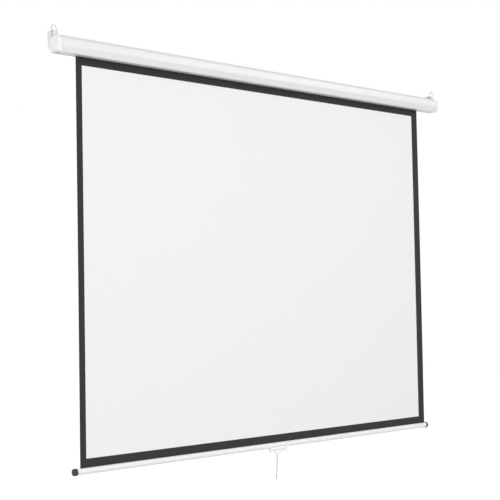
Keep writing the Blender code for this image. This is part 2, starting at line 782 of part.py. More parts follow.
def bar_point(x, z=0.0):
    return Vector((x, FABRIC_Y, BAR_Z + z))


def make_bottom_bar():
    """The tube, slotted along its top for the fabric and drilled for the handle's screws."""
    ends = bar_point(BAR_LEFT_X), bar_point(BAR_RIGHT_X)
    bar = cylinder("bottom_bar", BAR_RADIUS, *ends, BAR_RADIUS - BAR_WALL)
    half = BAR_SLOT / 2
    low = (BAR_LEFT_X - 0.001, FABRIC_Y - half, BAR_Z + BAR_RADIUS / 2)
    slot = block("bar_slot", low, (BAR_RIGHT_X + 0.001, FABRIC_Y + half, BAR_Z + BAR_RADIUS * 1.2))
    return cut(bar, [slot, *[handle_screw_hole(side) for side in (-1, 1)]])


def make_bar_cap(name, side):
    """A black plug with a domed head, a little wider than the bar."""
    plug = BAR_RADIUS - BAR_WALL - GAP
    head, long = BAR_CAP_RADIUS, BAR_CAP_LENGTH
    edge = head * 0.35
    dome = circle(edge, (head - edge, GAP + long - edge), 6, math.pi / 2, -math.pi / 2)
    spigot = [(plug, GAP), (plug, -BAR_PLUG_LENGTH), (0, -BAR_PLUG_LENGTH)]
    profile = [(0, GAP + long), *dome, (head, GAP), *spigot]
    end = BAR_LEFT_X if side < 0 else BAR_RIGHT_X
    cap = turned(name, profile, bar_point(end), (side, 0, 0))
    half = FABRIC_THICKNESS / 2 + GAP
    near, far = sorted((end, end - side * (BAR_PLUG_LENGTH + 0.001)))
    low = (near, FABRIC_Y - half, fabric_bottom() - GAP)
    return cut(cap, [block("fabric_notch", low, (far, FABRIC_Y + half, BAR_Z + BAR_RADIUS))])


def make_hem_rod():
    """The rod in the fabric's hem, held under the bar's slot between the two plugs."""
    height = math.sqrt((BAR_RADIUS - BAR_WALL - HEM_ROD_RADIUS - GAP) ** 2) - FABRIC_THICKNESS
    start = bar_point(BAR_LEFT_X + BAR_PLUG_LENGTH + GAP, height)
    end = bar_point(BAR_RIGHT_X - BAR_PLUG_LENGTH - GAP, height)
    return cylinder("hem_rod", HEM_ROD_RADIUS, start, end, steps=16)


def handle_screw_seat(side):
    return bar_point(HANDLE_X + side * HANDLE_SCREW_FROM_MIDDLE, -BAR_RADIUS - GAP - HANDLE_WRAP)


def handle_screw_hole(side):
    seat = handle_screw_seat(side)
    top = seat + Vector((0, 0, SCREW_LENGTH))
    return cylinder("handle_screw_hole", SCREW_RADIUS + GAP, seat, top, steps=16)


def handle_low():
    return BAR_Z - BAR_RADIUS - HANDLE_HEIGHT


def handle_section():
    """The handle's section as (y, z): a saddle round the bar's lower half and a grip below it."""
    saddle, grip = BAR_RADIUS + GAP + SADDLE_WALL, HANDLE_THICKNESS / 2
    shoulder = BAR_Z - SADDLE_BOTTOM - (saddle - grip) / 2
    right = [
        (grip, handle_low() - HANDLE_BOSS_DROP),
        (grip, shoulder),
        (saddle, BAR_Z - SADDLE_BOTTOM),
        (saddle, BAR_Z - SADDLE_TOP),
    ]
    left = [(-u, v) for u, v in reversed(right)]
    return [(FABRIC_Y + u, v) for u, v in right + left]


def handle_outline():
    """The handle seen from the front, with rounded lower corners and a lower boss in the middle."""
    half, round_ = HANDLE_WIDTH / 2, HANDLE_CORNER
    low = handle_low()
    boss = HANDLE_BOSS_WIDTH / 2
    right = [
        (boss * 0.8, low - HANDLE_BOSS_DROP),
        (boss, low - HANDLE_BOSS_DROP * 0.6),
        (boss * 1.25, low),
        *circle(round_, (half - round_, low + round_), 5, -math.pi / 2, math.pi / 2),
        (half, BAR_Z),
    ]
    left = [(-u, v) for u, v in reversed(right)]
    return [(HANDLE_X + u, v) for u, v in right + left]


def make_handle():
    """The handle, trimmed to its outline, cut to the bar's round and bored for screws and cord."""
    half, deep = HANDLE_WIDTH / 2, 2 * BAR_RADIUS
    start, end = HANDLE_X - half, HANDLE_X + half
    handle = extrude("pull_handle", [handle_section()], ALONG_X, start - GAP, end + GAP)
    around = rectangle((start - deep, handle_low() - deep), (end + deep, BAR_Z + deep))
    trim = extrude("handle_trim", [around, handle_outline()], ALONG_Y, -FABRIC_Y - deep, -FABRIC_Y + deep)
    ends = bar_point(start - deep), bar_point(end + deep)
    bar_seat = cylinder("bar_seat", BAR_RADIUS + GAP, *ends, steps=48)
    tools = [trim, bar_seat]
    for side in (-1, 1):
        for near, far in HANDLE_RELIEFS:
            ends = bar_point(HANDLE_X + side * near), bar_point(HANDLE_X + side * far)
            tools.append(cylinder("handle_relief", BAR_RADIUS + HANDLE_RELIEF, *ends, steps=48))
        seat = handle_screw_seat(side)
        below = seat - Vector((0, 0, HANDLE_HEIGHT))
        tools.append(cylinder("handle_recess", SCREW_HEAD_RADIUS + GAP, below, seat, steps=20))
        tools.append(handle_screw_hole(side))
    exit_point = cord_exit()
    below = exit_point - Vector((0, 0, 0.01))
    above = exit_point + Vector((0, 0, CORD_SOCKET))
    tools.append(cylinder("cord_socket", CORD_DIAMETER / 2 + GAP, below, above, steps=20))
    return cut(handle, tools)


def cord_exit():
    return bar_point(HANDLE_X + CORD_OFFSET, -BAR_RADIUS - HANDLE_HEIGHT - HANDLE_BOSS_DROP)


def make_cord():
    """The pull cord, from its socket down, hanging in a slight curve."""
    top = cord_exit() + Vector((0, 0, CORD_SOCKET - GAP))
    share = (0.0, 0.0, 0.12, 0.34, 0.66, 1.0)
    step = Vector((0, 0, -CORD_LENGTH / (len(share) - 1)))
    spots = [top + step * i - Vector((CORD_SWAY * part, 0, 0)) for i, part in enumerate(share)]
    return tube("pull_cord", smooth_route(spots, 3), CORD_DIAMETER / 2, sides=3)


def smooth_route(spots, steps):
    """Points on a Catmull-Rom curve through the spots."""
    ends = [2 * spots[0] - spots[1], *spots, 2 * spots[-1] - spots[-2]]
    route = []
    for a, b, c, d in zip(ends, ends[1:], ends[2:], ends[3:]):
        for i in range(steps):
            t = i / steps
            bend = (2 * a - 5 * b + 4 * c - d) * t * t + (3 * b - a - 3 * c + d) * t**3
            route.append((2 * b + (c - a) * t + bend) / 2)
    return [*route, spots[-1]]


# Colour, roughness and metallic value of each finish.
WHITE_PAINT = ((0.86, 0.86, 0.86), 0.45)
WHITE_PLASTIC = ((0.84, 0.84, 0.84), 0.4)
BLACK_PLASTIC = ((0.02, 0.02, 0.02), 0.35)
GREY_PLASTIC = ((0.35, 0.35, 0.36), 0.5)
BRIGHT_STEEL = ((0.62, 0.63, 0.65), 0.25, 1.0)
DULL_STEEL = ((0.45, 0.46, 0.48), 0.45, 1.0)
SPRING_STEEL = ((0.25, 0.26, 0.28), 0.4, 1.0)
SCREEN_WHITE = ((0.88, 0.88, 0.88), 0.9)
CORD_WHITE = ((0.6, 0.6, 0.6), 0.7)

clear_scene()
parts = collection("projector_screen")
cutters = collection("cutters")

finish(make_case(), WHITE_PAINT)
for end_name, end_side in (("left", -1), ("right", 1)):
    finish(make_end_cap(f"{end_name}_end_cap", end_side), WHITE_PLASTIC)
    finish(make_bracket(f"{end_name}_bracket", end_side), WHITE_PLASTIC)
    finish(make_bearing_plate(f"{end_name}_bearing_plate", end_side), DULL_STEEL)
    ring = finish(make_ring(f"{end_name}_hanging_ring", end_side), BRIGHT_STEEL)
    ring_place = (bracket_middle(end_side), RING_Y, RING_Z)
    carry(pivot(f"{end_name}_ring_axis", ring_place), [ring])

    for spot, height in zip(("lower", "upper"), BRACKET_SCREW_HEIGHTS):
        seat = bracket_screw_seat(end_side, height)
        name = f"{end_name}_{spot}_bracket_screw"
        finish(screw(name, seat, (0, -1, 0), bracket_screw_length()), DULL_STEEL)

bush_bore = PIN_RADIUS + GAP
bush = roller_ring("pin_bush", bush_bore + BUSH_WALL, -PLATE_INNER_X, -PLATE_OUTER_X, bush_bore)
finish(bush, GREY_PLASTIC)
finish(make_spring_shaft(), BRIGHT_STEEL)
finish(make_ratchet_wheel(), DULL_STEEL)
anchor_start = SHAFT_INNER_X + SUPPORT_LENGTH + GAP
anchor_end = anchor_start + ANCHOR_LENGTH
finish(roller_ring("spring_anchor", ANCHOR_RADIUS, anchor_start, anchor_end, SHAFT_RADIUS + GAP), DULL_STEEL)
finish(make_torsion_spring(), SPRING_STEEL)

inner_radius = ROLLER_RADIUS - ROLLER_WALL
support = (SHAFT_INNER_X, SHAFT_INNER_X + SUPPORT_LENGTH)
pin_start = -PLATE_OUTER_X + GAP
roller = [
    finish(
        roller_ring("roller_tube", ROLLER_RADIUS, ROLLER_LEFT_X, ROLLER_RIGHT_X, inner_radius),
        DULL_STEEL,
    ),
    finish(make_roller_plug("left_roller_plug", ROLLER_LEFT_X, -1, PIN_RADIUS + GAP), GREY_PLASTIC),
    finish(roller_ring("idle_pin", PIN_RADIUS, pin_start, pin_start + PIN_LENGTH), BRIGHT_STEEL),
    finish(make_right_plug(), GREY_PLASTIC),
    finish(roller_ring("shaft_support", inner_radius - GAP, *support, SHAFT_RADIUS + GAP), GREY_PLASTIC),
    finish(make_pawl_pin("pawl_a_pin", 0), BRIGHT_STEEL),
    finish(make_pawl_pin("pawl_b_pin", math.pi), BRIGHT_STEEL),
    finish(
        roller_ring("fabric_wrap", WRAP_RADIUS, FABRIC_LEFT_X, FABRIC_RIGHT_X, ROLLER_RADIUS + GAP, 48),
        SCREEN_WHITE,
    ),
]
roller_axis = pivot("roller_axis", axis_point(0))
carry(roller_axis, roller)
for pawl_name, turn_part in (("pawl_a", 0), ("pawl_b", math.pi)):
    pawl = finish(make_pawl(pawl_name, turn_part), DULL_STEEL)
    pawl_axis = pivot(f"{pawl_name}_axis", pawl_pivot(turn_part))
    carry(pawl_axis, [pawl])
    carry(roller_axis, [pawl_axis])

finish(make_fabric(), SCREEN_WHITE)
bar_pieces = [
    finish(make_bottom_bar(), WHITE_PAINT),
    finish(make_bar_cap("left_bar_cap", -1), BLACK_PLASTIC),
    finish(make_bar_cap("right_bar_cap", 1), BLACK_PLASTIC),
    finish(make_hem_rod(), DULL_STEEL),
    finish(make_handle(), WHITE_PLASTIC),
    finish(screw("left_handle_screw", handle_screw_seat(-1), (0, 0, 1)), DULL_STEEL),
    finish(screw("right_handle_screw", handle_screw_seat(1), (0, 0, 1)), DULL_STEEL),
    finish(make_cord(), CORD_WHITE),
]
carry(pivot("screen_drop_axis", bar_point(0)), bar_pieces)
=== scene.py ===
"""Looks of the pull-down projector screen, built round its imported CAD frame.

Metres, in the frame of the CAD: +X along the case, -Y towards the audience, +Z up. The origin is on
the wall plane, halfway along the case.
"""

import math

import bmesh
import bpy
from mathutils import Matrix, Vector


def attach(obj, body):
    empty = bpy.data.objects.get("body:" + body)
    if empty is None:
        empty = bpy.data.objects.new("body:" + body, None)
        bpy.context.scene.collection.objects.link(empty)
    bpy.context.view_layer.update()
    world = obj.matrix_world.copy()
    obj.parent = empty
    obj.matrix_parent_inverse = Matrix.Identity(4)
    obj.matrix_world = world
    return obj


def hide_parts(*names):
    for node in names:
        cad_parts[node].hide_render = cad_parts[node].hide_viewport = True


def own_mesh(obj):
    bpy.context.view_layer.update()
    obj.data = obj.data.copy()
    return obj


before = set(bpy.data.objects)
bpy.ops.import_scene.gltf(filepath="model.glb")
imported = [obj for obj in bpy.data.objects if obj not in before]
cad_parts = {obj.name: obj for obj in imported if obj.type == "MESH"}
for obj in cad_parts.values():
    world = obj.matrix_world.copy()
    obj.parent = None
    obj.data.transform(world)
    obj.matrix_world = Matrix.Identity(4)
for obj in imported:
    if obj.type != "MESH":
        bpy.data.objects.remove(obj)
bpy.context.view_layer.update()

# Camera, fitted to the photograph.
IMAGE_SIZE = 500
FOCAL_PIXELS = 1155.43
SENSOR_WIDTH = 36.0
CAMERA_REACH = 100
CAMERA_PLACE = (-3.63236, -3.72586, -1.02321)
CAMERA_FORWARD = (0.685127, 0.726948, 0.046338)
CAMERA_DOWN = (0.018323, 0.046394, -0.998755)

# Sizes that repeat the CAD's own.
GAP = 0.0003
CASE_SHEET = 0.0012
CASE_FRONT_Y, CASE_BACK_Y = -0.077, -0.016
CASE_BOTTOM_Z, CASE_TOP_Z = -0.0515, 0.017
FACET_SETBACK, FACET_HEIGHT = 0.005, 0.0265
BAND_SETBACK, BAND_HEIGHT, BAND_DEPTH = 0.0015, 0.054, 0.017
BACK_CHAMFER = 0.011
UNDERSIDE_RISE, UNDERSIDE_CHAMFER = 0.0015, 0.003
SLOT_FRONT_Y, SLOT_BACK_Y, SLOT_LIP = -0.0341, -0.0267, 0.005
SEAM_X, CAP_END_X = 1.14915, 1.17015
CAP_WALL, SPIGOT_LENGTH, CAP_NOTCH, CAP_NOTCH_FORWARD = 0.003, 0.012, 0.0075, 0.016
DRAWN_LENGTH, DRAWN_FRONT, DRAWN_TOP, DRAWN_BOTTOM, DRAWN_AT_BACK = 0.016, 0.008, 0.009, 0.016, 0.25
PLATE_OUTER_X, PLATE_THICKNESS = 1.16315, 0.006
RING_Y, RING_Z = -0.0355, 0.022
RING_WIRE, RING_WIDTH, RING_HEIGHT = 0.0028, 0.030, 0.0405
RING_TOP_RADIUS, RING_CORNER_RADIUS = 0.010, 0.0035
BRACKET_MIDDLE_X = 1.16065
LEFT_RING_LEAN = math.radians(12)
FABRIC_Y, FABRIC_THICKNESS = -0.0309, 0.0004
FABRIC_LEFT_X, FABRIC_RIGHT_X = -1.06295, 1.04155
BORDER_LEFT, BORDER_RIGHT, BORDER_TOP = 0.0285, 0.044, 0.0311
VIEW_HEIGHT = 1.524
ROLLER_Y, ROLLER_Z, ROLLER_RADIUS = -0.0505, -0.016, 0.018
WRAP_TURNS = 2
BAR_Z, BAR_RADIUS, BAR_WALL, BAR_SLOT = -1.6534, 0.0125, 0.0012, 0.003
BAR_LEFT_X, BAR_RIGHT_X = -1.08055, 1.04355
BAR_CAP_RADIUS, BAR_CAP_LENGTH, BAR_PLUG_LENGTH = 0.0143, 0.015, 0.018
HANDLE_SCREW_X, HANDLE_SCREW_Z, SCREW_LENGTH = 0.030, -1.6702, 0.009
BRACKET_SCREW_Y, BRACKET_SCREW_LENGTH = -0.0102, 0.0166
BRACKET_SCREW_HEIGHTS = {"lower": -0.024, "upper": -0.008}
SCREW_RADIUS, SCREW_HEAD_RADIUS, SCREW_HEAD_HEIGHT = 0.0015, 0.0034, 0.0015
CORD_EXIT = (-0.0075, FABRIC_Y, -1.6934)
CORD_SOCKET, CORD_DIAMETER, CORD_LENGTH, CORD_SWAY = 0.006, 0.004, 0.117, 0.0073

# Fine shapes that only the looks have.
FOLD_RADIUS = 0.0016
CAP_SEAM_BEVEL, BRACKET_BEVEL, GRIP_BEVEL = 0.0008, 0.0006, 0.0009
THREAD_PITCH, THREAD_DEPTH = 0.0009, 0.00025
RECESS_HALF_WIDTH, RECESS_HALF_LENGTH, RECESS_FLOOR = 0.0005, 0.0019, 0.35
SIDE_CURL, CURL_POWER = 0.0016, 8
RIPPLE, RIPPLE_WAVES, RIPPLE_DRIFT = 0.0006, 9, 3
WRAP_AIR = 0.00004
BAR_CAP_DOME, BAR_CAP_CHAMFER, PLUG_CHAMFER = 0.35, 0.0005, 0.001
GROOVE_START, GROOVE_END, GROOVE_DEPTH, GROOVE_SLOPE = 0.0024, 0.0034, 0.0004, 0.0003
CORD_STRANDS, CORD_LAY = 4, 0.0125

# How far a cutter reaches past what it cuts.
CUT_PAST = 0.001

# Fineness of the meshes.
CORNER_STEPS, DRAWN_STEPS, WRAP_STEPS, BAR_STEPS, DOME_STEPS = 4, 20, 72, 96, 12
RING_CORNER_STEPS, RING_TOP_STEPS, CORD_STEPS = 10, 24, 40
ROUND_SIDES, SMALL_SIDES, WIRE_SIDES, CORD_SIDES = 64, 24, 20, 32
CLOTH_STEP = 0.05
SHARP_ANGLE, BEVEL_ANGLE, FLAT_ANGLE = math.radians(32), math.radians(30), math.radians(1)
WELD_DISTANCE = 0.000002

FLOOR_Z = -2.4
FLOOR_HALF = 14.0


# Materials


class Nodes:
    """A material's node tree, with short calls for the nodes used here."""

    def __init__(self, name):
        self.material = bpy.data.materials.new(name)
        self.material.use_nodes = True
        self.tree = self.material.node_tree
        self.shader = self.tree.nodes["Principled BSDF"]

    def add(self, kind, **values):
        node = self.tree.nodes.new(kind)
        for key, value in values.items():
            setattr(node, key, value)
        return node

    def link(self, start, end):
        self.tree.links.new(start, end)

    def coordinates(self, scale=(1, 1, 1), uv=False):
        """Object coordinates in metres, or the UV map's metres, scaled along each axis."""
        source = self.add("ShaderNodeTexCoord")
        mapping = self.add("ShaderNodeMapping")
        mapping.inputs["Scale"].default_value = scale
        self.link(source.outputs["UV" if uv else "Object"], mapping.inputs["Vector"])
        return mapping.outputs["Vector"]

    def noise(self, vector, scale, detail, roughness=0.5):
        node = self.add("ShaderNodeTexNoise")
        node.inputs["Scale"].default_value = scale
        node.inputs["Detail"].default_value = detail
        node.inputs["Roughness"].default_value = roughness
        self.link(vector, node.inputs["Vector"])
        return node.outputs["Fac"]

    def wave(self, vector, scale, direction, distortion):
        node = self.add("ShaderNodeTexWave", wave_type="BANDS", bands_direction=direction)
        node.inputs["Scale"].default_value = scale
        node.inputs["Distortion"].default_value = distortion
        self.link(vector, node.inputs["Vector"])
        return node.outputs["Fac"]

    def cells(self, vector, scale):
        node = self.add("ShaderNodeTexVoronoi")
        node.inputs["Scale"].default_value = scale
        self.link(vector, node.inputs["Vector"])
        return node.outputs["Distance"]

    def spread(self, value, low, high, start=0.3, end=0.7):
        """A value's middle range mapped to low to high."""
        node = self.add("ShaderNodeMapRange")
        node.inputs["From Min"].default_value = start
        node.inputs["From Max"].default_value = end
        node.inputs["To Min"].default_value = low
        node.inputs["To Max"].default_value = high
        self.link(value, node.inputs["Value"])
        return node.outputs["Result"]

    def math(self, operation, first, second):
        node = self.add("ShaderNodeMath", operation=operation)
        for socket, value in zip(node.inputs, (first, second)):
            if isinstance(value, (int, float)):
                socket.default_value = value
            else:
                self.link(value, socket)
        return node.outputs["Value"]

    def bump(self, height, strength, distance):
        node = self.add("ShaderNodeBump")
        node.inputs["Strength"].default_value = strength
        node.inputs["Distance"].default_value = distance
        self.link(height, node.inputs["Height"])
        self.link(node.outputs["Normal"], self.shader.inputs["Normal"])

    def colour(self, value, dark, light, start=0.3, end=0.7):
        """Colours the surface between two colours by a value's middle range."""
        node = self.add("ShaderNodeMix", data_type="RGBA")
        node.inputs["A"].default_value = (*dark, 1)
        node.inputs["B"].default_value = (*light, 1)
        self.link(self.spread(value, 0, 1, start, end), node.inputs["Factor"])
        self.link(node.outputs["Result"], self.shader.inputs["Base Color"])

    def rough(self, value, low, high):
        """Makes the surface rougher from low to high by a value's middle range."""
        self.link(self.spread(value, low, high), self.shader.inputs["Roughness"])

    def set(self, **values):
        """Sets the shader's own sockets and gives the finished material."""
        for key, value in values.items():
            self.shader.inputs[key.replace("_", " ")].default_value = value
        return self.material


def grey(value, warmth=0.0):
    return (value * (1 + warmth), value, value * (1 - warmth))


def painted(name, low, high, roughness):
    """Powder coat: a fine orange peel with a faint cloudiness and uneven gloss."""
    made = Nodes(name)
    place = made.coordinates()
    cloud = made.noise(place, scale=6.0, detail=3.0)
    made.colour(cloud, grey(low), grey(high))
    peel = made.noise(place, scale=420.0, detail=2.0)
    grain = made.noise(place, scale=1800.0, detail=1.0)
    gloss = made.noise(place, scale=35.0, detail=4.0)
    uneven = 0.006
    made.rough(gloss, roughness - uneven, roughness + uneven)
    fine = made.math("MULTIPLY", grain, 0.25)
    made.bump(made.math("ADD", peel, fine), strength=0.06, distance=0.0001)
    return made.set(IOR=1.5)


def moulded(name, low, high, roughness, grain=0.18):
    """Moulded plastic: a spark-eroded grain, slight flow marks and handling gloss."""
    made = Nodes(name)
    place = made.coordinates()
    flow = made.noise(made.coordinates((1, 1, 4)), scale=14.0, detail=3.0)
    made.colour(flow, grey(low), grey(high))
    handling = made.noise(place, scale=60.0, detail=3.0)
    uneven = 0.06
    made.rough(handling, roughness - uneven, roughness + uneven)
    made.bump(made.cells(place, scale=1600.0), strength=grain, distance=0.00008)
    return made.set(IOR=1.47)


def woven(name, low, high, roughness, depth):
    """Coated screen cloth: a plain weave that shows through its coating, with faint slubs."""
    made = Nodes(name)
    place = made.coordinates(uv=True)
    pitch = 0.0006
    # A wave texture of scale 1 repeats each pi / 10.
    threads = math.pi / (10 * pitch)
    warp = made.wave(place, threads, "X", distortion=0.4)
    weft = made.wave(place, threads, "Y", distortion=0.4)
    weave = made.math("MULTIPLY", warp, weft)
    slub = made.noise(made.coordinates((1, 12, 1), uv=True), scale=90.0, detail=3.0)
    tone = made.math("ADD", made.math("MULTIPLY", slub, 0.7), made.math("MULTIPLY", weave, 0.3))
    made.colour(tone, grey(low), grey(high))
    uneven = 0.04
    made.rough(slub, roughness - uneven, roughness + uneven)
    made.bump(weave, strength=depth, distance=0.00006)
    return made.set(IOR=1.45, Specular_IOR_Level=0.3)


def metal(name, low, high, roughness, stretch=(1, 1, 1)):
    """Plated or drawn steel: fine marks along the wire or the rolling direction."""
    made = Nodes(name)
    marks = made.noise(made.coordinates(stretch), scale=300.0, detail=4.0, roughness=0.6)
    patches = made.noise(made.coordinates(), scale=40.0, detail=3.0)
    made.colour(patches, grey(low), grey(high))
    smoother, rougher = 0.08, 0.1
    made.rough(marks, roughness - smoother, roughness + rougher)
    made.bump(marks, strength=0.08, distance=0.00005)
    return made.set(Metallic=1.0)


def galvanised(name):
    """Zinc-plated steel with a soft spangle."""
    made = Nodes(name)
    place = made.coordinates()
    spangle = made.cells(place, scale=220.0)
    made.colour(spangle, dark=grey(0.38), light=grey(0.55, warmth=-0.02), start=0.1)
    made.rough(made.noise(place, scale=150.0, detail=3.0), low=0.32, high=0.5)
    made.bump(spangle, strength=0.05, distance=0.00005)
    return made.set(Metallic=1.0)


def braided(name):
    """Polyester cord: soft fibres along the strands, with painted shade in the grooves between them, where
    the fibre bump is low.
    """
    made = Nodes(name)
    fibres = made.noise(made.coordinates((1, 1, 0.15)), scale=2600.0, detail=2.0)
    stain = made.noise(made.coordinates(), scale=45.0, detail=3.0)
    # The fibre noise that raises the bump also lightens the colour, so the grooves between fibres get
    # painted shade; the stain noise is the cord's own uneven tone.
    tone = made.math("ADD", made.math("MULTIPLY", fibres, 0.5), made.math("MULTIPLY", stain, 0.5))
    made.colour(tone, dark=(0.33, 0.325, 0.315), light=(0.46, 0.455, 0.44))
    made.bump(fibres, strength=0.3, distance=0.00008)
    return made.set(Roughness=0.85, Sheen_Weight=0.2, Sheen_Roughness=0.5)


WHITE_PAINT = painted("white_powder_coat", low=0.74, high=0.755, roughness=0.264)
BAR_PAINT = painted("white_bar_paint", low=0.84, high=0.86, roughness=0.24)
WHITE_PLASTIC = moulded("white_moulded_plastic", low=0.78, high=0.81, roughness=0.38)
BRACKET_PLASTIC = moulded("pale_grey_bracket_plastic", low=0.66, high=0.70, roughness=0.42)
HANDLE_PLASTIC = moulded("white_handle_plastic", low=0.94, high=0.955, roughness=0.34)
BLACK_PLASTIC = moulded("black_moulded_plastic", low=0.010, high=0.020, roughness=0.27, grain=0.12)
GREY_PLASTIC = moulded("grey_moulded_plastic", low=0.30, high=0.36, roughness=0.5)
CLOTH_WHITE = woven("matt_white_cloth", low=0.868, high=0.882, roughness=0.93, depth=0.22)
CLOTH_BORDER = woven("printed_black_border", low=0.027, high=0.038, roughness=0.82, depth=0.25)
CLOTH_BACK = woven("black_backing_cloth", low=0.030, high=0.045, roughness=0.7, depth=0.35)
RING_STEEL = metal("nickel_plated_wire", low=0.36, high=0.46, roughness=0.3, stretch=(0.3, 1, 1))
SHAFT_STEEL = metal("turned_steel", low=0.52, high=0.62, roughness=0.25, stretch=(0.2, 1, 1))
SPRING_STEEL = metal("oiled_spring_steel", low=0.18, high=0.28, roughness=0.35)
ZINC = galvanised("zinc_plated_steel")
CORD_CLOTH = braided("pale_braided_cord")


# Shapes


def add_piece(item, looks, body, node):
    """Shows a new piece, smooth but for its sharp edges, in place of a CAD node."""
    bpy.context.scene.collection.objects.link(item)
    for look in looks:
        item.data.materials.append(look)
    item.data.shade_smooth()
    item.data.set_sharp_from_angle(angle=SHARP_ANGLE)
    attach(item, body)
    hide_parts(node)


def from_bmesh(name, work):
    bmesh.ops.recalc_face_normals(work, faces=work.faces)
    mesh = bpy.data.meshes.new(name)
    work.to_mesh(mesh)
    work.free()
    return bpy.data.objects.new(name, mesh)


def offset_outline(points, distance):
    """A convex outline moved outwards by a distance, with its corners kept sharp."""
    area = sum(a[0] * b[1] - b[0] * a[1] for a, b in zip(points, points[1:] + points[:1]))
    turn = 1 if area > 0 else -1
    moved = []
    for i, point in enumerate(points):
        before = (Vector(point) - Vector(points[i - 1])).normalized()
        after = (Vector(points[(i + 1) % len(points)]) - Vector(point)).normalized()
        normal = Vector((before.y, -before.x)) + Vector((after.y, -after.x))
        scale = turn * distance / (1 + before.dot(after))
        moved.append((point[0] + normal.x * scale, point[1] + normal.y * scale))
    return moved


def rounded(points, radius, closed=True):
    """An outline whose corners are arcs of about a radius, each with the same number of points."""
    made = []
    count = len(points)
    most = 0.45
    for i in range(count):
        here = Vector(points[i])
        if not closed and i in (0, count - 1):
            made.append(here)
            continue
        to_last = Vector(points[i - 1]) - here
        to_next = Vector(points[(i + 1) % count]) - here
        half = to_last.angle(to_next) / 2
        reach = min(radius / math.tan(half), to_last.length * most, to_next.length * most)
        start = here + to_last.normalized() * reach
        end = here + to_next.normalized() * reach
        for step in range(CORNER_STEPS + 1):
            t = step / CORNER_STEPS
            made.append(start * (1 - t) ** 2 + here * 2 * t * (1 - t) + end * t**2)
    return made


def thickened(line, thickness):
    """A closed outline of even thickness round an open line."""
    half = thickness / 2
    left, right = [], []
    for i, point in enumerate(line):
        before = line[max(i - 1, 0)]
        after = line[min(i + 1, len(line) - 1)]
        along = (after - before).normalized()
        side = Vector((-along.y, along.x)) * half
        left.append(point + side)
        right.append(point - side)
    return left + right[::-1]


def loft(name, rings):
    """A closed solid through rings of points, capped at both ends."""
    work = bmesh.new()
    rows = [[work.verts.new(point) for point in ring] for ring in rings]
    for low, high in zip(rows, rows[1:]):
        for i in range(len(low)):
            j = (i + 1) % len(low)
            work.faces.new((low[i], low[j], high[j], high[i]))
    work.faces.new(rows[0][::-1])
    work.faces.new(rows[-1])
    return from_bmesh(name, work)


def along_x(section, x):
    return [(x, point[0], point[1]) for point in section]


def turned(name, profile, base, direction, steps):
    """A solid turned round an axis from (radius, height) points, starting and ending on the axis."""
    turn = Vector((0, 0, 1)).rotation_difference(Vector(direction)).to_matrix()
    base = Vector(base)
    work = bmesh.new()
    rows = []
    for radius, height in profile:
        if radius == 0:
            rows.append([work.verts.new(base + turn @ Vector((0, 0, height)))])
            continue
        ring = []
        for i in range(steps):
            angle = 2 * math.pi * i / steps
            spot = Vector((radius * math.cos(angle), radius * math.sin(angle), height))
            ring.append(work.verts.new(base + turn @ spot))
        rows.append(ring)
    for low, high in zip(rows, rows[1:]):
        for i in range(steps):
            j = (i + 1) % steps
            corners = (low[i % len(low)], low[j % len(low)], high[j % len(high)], high[i % len(high)])
            work.faces.new(list(dict.fromkeys(corners)))
    return from_bmesh(name, work)


def tube(name, points, radius, sides, closed=False, swell=None):
    """A round tube along points; swell gives a radius factor from the ring's number and angle."""
    points = [Vector(p) for p in points]
    count = len(points)
    work = bmesh.new()
    rows = []
    normal = None
    for i, point in enumerate(points):
        before = points[i - 1] if closed or i else point
        after = points[(i + 1) % count] if closed or i < count - 1 else point
        along = (after - before).normalized()
        if normal is None:
            normal = along.orthogonal().normalized()
        normal = (normal - along * normal.dot(along)).normalized()
        across = along.cross(normal)
        ring = []
        for k in range(sides):
            angle = 2 * math.pi * k / sides
            reach = radius * (swell(i, angle) if swell else 1)
            outwards = normal * math.cos(angle) + across * math.sin(angle)
            ring.append(work.verts.new(point + outwards * reach))
        rows.append(ring)
    pairs = list(zip(rows, rows[1:])) + ([(rows[-1], rows[0])] if closed else [])
    for low, high in pairs:
        for k in range(sides):
            j = (k + 1) % sides
            work.faces.new((low[k], low[j], high[j], high[k]))
    if not closed:
        work.faces.new(rows[0][::-1])
        work.faces.new(rows[-1])
    return from_bmesh(name, work)


def block(low, high):
    """A box for cutting, between two corners."""
    work = bmesh.new()
    bmesh.ops.create_cube(work, size=1)
    size = Vector(high) - Vector(low)
    bmesh.ops.scale(work, vec=size, verts=work.verts)
    bmesh.ops.translate(work, vec=Vector(low) + size / 2, verts=work.verts)
    return from_bmesh("cutter", work)


def applied(item):
    """The item with its modifiers worked into its mesh."""
    bpy.context.scene.collection.objects.link(item)
    bpy.context.view_layer.update()
    ready = item.evaluated_get(bpy.context.evaluated_depsgraph_get())
    mesh = bpy.data.meshes.new_from_object(ready)
    bpy.context.scene.collection.objects.unlink(item)
    item.modifiers.clear()
    item.data = mesh
    mesh.name = item.name
    return item


def cut(item, tools):
    """Cuts an unlinked piece by tools and applies it."""
    group = bpy.data.collections.new(item.name + "_cutters")
    bpy.context.scene.collection.children.link(group)
    for tool in tools:
        group.objects.link(tool)
    change = item.modifiers.new("cut", "BOOLEAN")
    change.operation = "DIFFERENCE"
    change.solver = "EXACT"
    change.operand_type = "COLLECTION"
    change.collection = group
    applied(item)
    for tool in tools:
        bpy.data.objects.remove(tool, do_unlink=True)
    bpy.data.collections.remove(group)
    return item


def refined(name, node, width, segments):
    """A copy of a CAD node's mesh with its flat faces joined and its edges rounded."""
    work = bmesh.new()
    work.from_mesh(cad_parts[node].data)
    bmesh.ops.remove_doubles(work, verts=work.verts, dist=WELD_DISTANCE)
    bmesh.ops.dissolve_limit(work, angle_limit=FLAT_ANGLE, verts=work.verts, edges=work.edges)
    item = from_bmesh(name, work)
    change = item.modifiers.new("edges", "BEVEL")
    change.width = width
    change.segments = segments
    change.limit_method = "ANGLE"
    change.angle_limit = BEVEL_ANGLE
    change.use_clamp_overlap = True
    return applied(item)


# Case and caps


